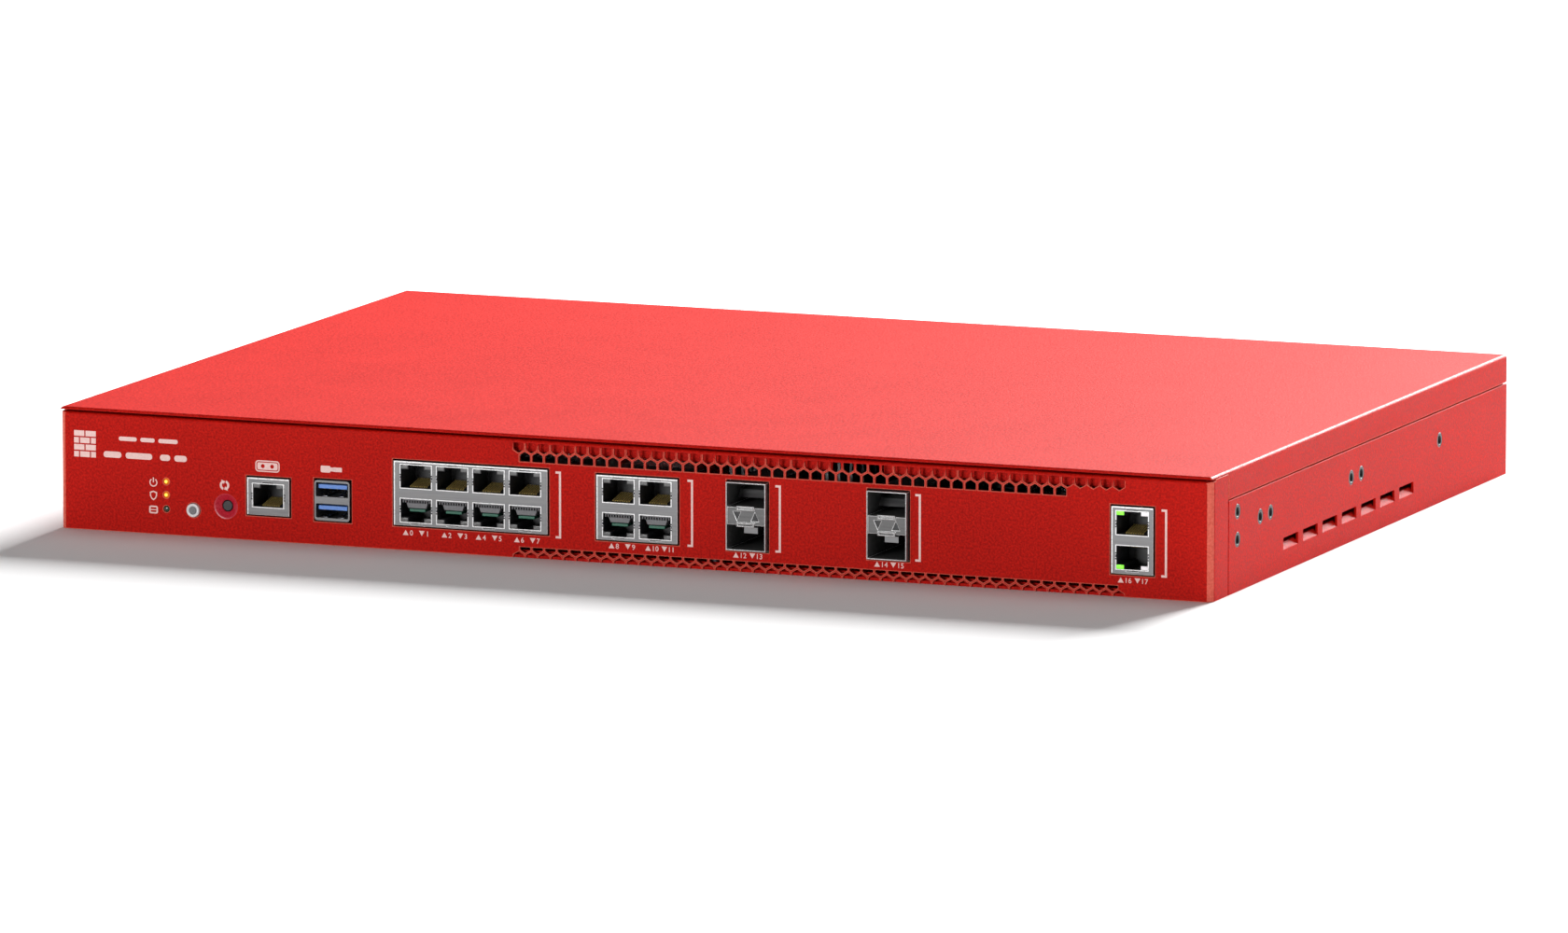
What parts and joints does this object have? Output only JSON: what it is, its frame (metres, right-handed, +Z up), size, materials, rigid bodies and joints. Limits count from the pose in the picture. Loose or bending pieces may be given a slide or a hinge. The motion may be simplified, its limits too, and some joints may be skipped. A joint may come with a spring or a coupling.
{
  "type": "network firewall appliance",
  "caption": "Rack-mount network firewall: red sheet-metal case with jacks, module cages, USB sockets, hexagonal vents and push buttons in front, fans and mains inlet behind.",
  "frame": {"origin": "centre of the bottom face of the case", "axes": "+Z up, -Y towards the front with the ports, +X to the right seen from the front"},
  "size_m": [0.438, 0.3153, 0.044],
  "materials": {
    "red_paint": "fine powder coat, semi-gloss",
    "plated_shield": "tin-plated sheet, satin",
    "zinc_screw": "bright zinc plate",
    "bright_insert": "bright plated",
    "black_moulding": "matt moulded",
    "grey_moulding": "satin moulded",
    "blue_tongue": "semi-gloss moulded",
    "gold_contact": "gold flash",
    "clear_light": "milky moulded",
    "amber_light": "glowing amber",
    "white_cap": "satin white moulded",
    "green_board": "solder mask",
    "chip_black": "moulded epoxy",
    "sink_aluminium": "extruded, clear anodised",
    "galvanised": "galvanised sheet",
    "capacitor_can": "sleeved can",
    "tan_board": "paper laminate",
    "cell_steel": "stainless",
    "cable_sheath": "extruded sheath",
    "ribbon_grey": "flat ribbon",
    "header_white": "nylon"
  },
  "bodies": {
    "root": {"base_tray": "red_paint", "rear_panel": "red_paint", "top_cover": "red_paint", "front_bezel": "red_paint", "front_beam": "red_paint", "side_inserts": "bright_insert", "cover_screws": "zinc_screw", "console_shield": "plated_shield", "console_body": "black_moulding", "usb_shell": "plated_shield", "usb_tongues": "blue_tongue", "jack_shield_a": "plated_shield", "jack_body_a": "black_moulding", "jack_shield_b": "plated_shield", "jack_body_b": "black_moulding", "jack_shield_c": "plated_shield", "jack_body_c": "black_moulding", "jack_contacts": "gold_contact", "jack_lights": "clear_light", "module_cage_a": "plated_shield", "module_cage_b": "plated_shield", "module_sockets": "grey_moulding", "module_lights": "black_moulding", "status_lights": "amber_light", "button_board": "green_board", "push_switches": "black_moulding", "front_ribbon": "ribbon_grey", "main_board": "green_board", "board_standoffs": "zinc_screw", "board_screws": "zinc_screw", "processor": "cell_steel", "processor_heatsink": "sink_aluminium", "network_chips": "chip_black", "network_heatsink": "sink_aluminium", "heatsink_screws": "zinc_screw", "memory_sockets": "black_moulding", "memory_modules": "green_board", "drive_socket": "black_moulding", "drive_module": "green_board", "board_capacitors": "capacitor_can", "board_chokes": "grey_moulding", "battery_holder": "black_moulding", "clock_battery": "cell_steel", "board_headers": "header_white", "psu_case": "galvanised", "psu_lid": "galvanised", "psu_board": "tan_board", "power_inlet": "black_moulding", "inlet_pins": "cell_steel", "rocker_housing": "black_moulding", "fan_frames": "black_moulding", "wiring": "cable_sheath", "fan_screws": "zinc_screw"},
    "power_button": {"power_button": "white_cap", "power_inlay": "grey_moulding"},
    "reset_button": {"reset_button": "grey_moulding"},
    "power_rocker": {"power_rocker": "black_moulding"},
    "fan_left": {"fan_rotor_left": "black_moulding"},
    "fan_middle": {"fan_rotor_middle": "black_moulding"},
    "fan_right": {"fan_rotor_right": "black_moulding"}
  },
  "joints": [
    {"name": "power_button_press", "type": "slide", "parent": "root", "child": "power_button", "axis": [0, 1, 0], "range_m": [0, 0.0008], "stiffness_N_per_m": 500, "springref_m": -0.0004},
    {"name": "reset_button_press", "type": "slide", "parent": "root", "child": "reset_button", "axis": [0, 1, 0], "range_m": [0, 0.0006], "stiffness_N_per_m": 500, "springref_m": -0.0004},
    {"name": "power_rocker_tilt", "type": "hinge", "parent": "root", "child": "power_rocker", "pos_m": [-0.154, 0.1527, 0.022], "axis": [1, 0, 0], "range_deg": [0, 20]},
    {"name": "fan_left_spin", "type": "hinge", "parent": "root", "child": "fan_left", "pos_m": [-0.04, 0.1388, 0.0216], "axis": [0, 1, 0], "continuous": true},
    {"name": "fan_middle_spin", "type": "hinge", "parent": "root", "child": "fan_middle", "pos_m": [0.05, 0.1388, 0.0216], "axis": [0, 1, 0], "continuous": true},
    {"name": "fan_right_spin", "type": "hinge", "parent": "root", "child": "fan_right", "pos_m": [0.14, 0.1388, 0.0216], "axis": [0, 1, 0], "continuous": true}
  ]
}
